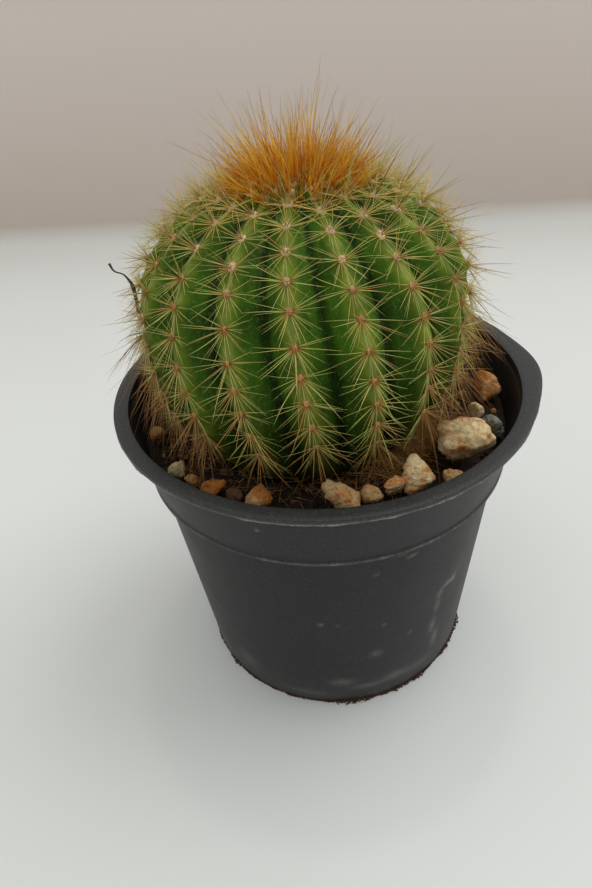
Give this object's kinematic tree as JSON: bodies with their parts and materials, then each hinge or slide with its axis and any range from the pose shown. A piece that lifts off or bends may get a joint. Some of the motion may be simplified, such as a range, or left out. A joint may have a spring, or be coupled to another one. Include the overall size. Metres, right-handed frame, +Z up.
{
  "type": "potted round cactus",
  "caption": "Round ribbed cactus with a golden tuft of spines on its crown, growing in a small dark tapered nursery pot with soil and pale grit stones.",
  "frame": {"origin": "centre of the pot's flat underside, on the surface it stands on", "axes": "+Z up along the pot's axis, away from the surface it stands on; -Y towards the viewer; +X to the viewer's right"},
  "size_m": [0.09, 0.0898, 0.1295],
  "materials": {
    "charcoal_plastic": "moulded charcoal polypropylene, satin, lightly scuffed",
    "potting_soil": null,
    "green_skin": null,
    "straw_spines": null,
    "amber_spines": null,
    "grit_stone": "rough cream grit stone with orange-brown stains, dull",
    "dried_root": "dry dark grey-brown strand, dull"
  },
  "bodies": {
    "root": {"pot": "charcoal_plastic", "soil": "potting_soil", "cactus_stem": "green_skin", "crown_spines": "amber_spines", "rib_spines_01": "straw_spines", "rib_spines_02": "straw_spines", "rib_spines_03": "straw_spines", "rib_spines_04": "straw_spines", "rib_spines_05": "straw_spines", "rib_spines_06": "straw_spines", "rib_spines_07": "straw_spines", "rib_spines_08": "straw_spines", "rib_spines_09": "straw_spines", "rib_spines_10": "straw_spines", "rib_spines_11": "straw_spines", "rib_spines_12": "straw_spines", "rib_spines_13": "straw_spines", "rib_spines_14": "straw_spines", "rib_spines_15": "straw_spines", "rib_spines_16": "straw_spines", "rib_spines_17": "straw_spines", "grit_stone_01": "grit_stone", "grit_stone_02": "grit_stone", "grit_stone_03": "grit_stone", "grit_stone_04": "grit_stone", "grit_stone_05": "grit_stone", "grit_stone_06": "grit_stone", "grit_stone_07": "grit_stone", "grit_stone_08": "grit_stone", "grit_stone_09": "grit_stone", "grit_stone_10": "grit_stone", "grit_stone_11": "grit_stone", "grit_stone_12": "grit_stone", "grit_stone_13": "grit_stone", "grit_stone_14": "grit_stone", "grit_stone_15": "grit_stone", "grit_stone_16": "grit_stone", "grit_stone_17": "grit_stone", "grit_stone_18": "grit_stone", "grit_stone_19": "grit_stone", "grit_stone_20": "grit_stone", "grit_stone_21": "grit_stone", "grit_stone_22": "grit_stone", "grit_stone_23": "grit_stone", "dried_strand": "dried_root"}
  },
  "joints": []
}
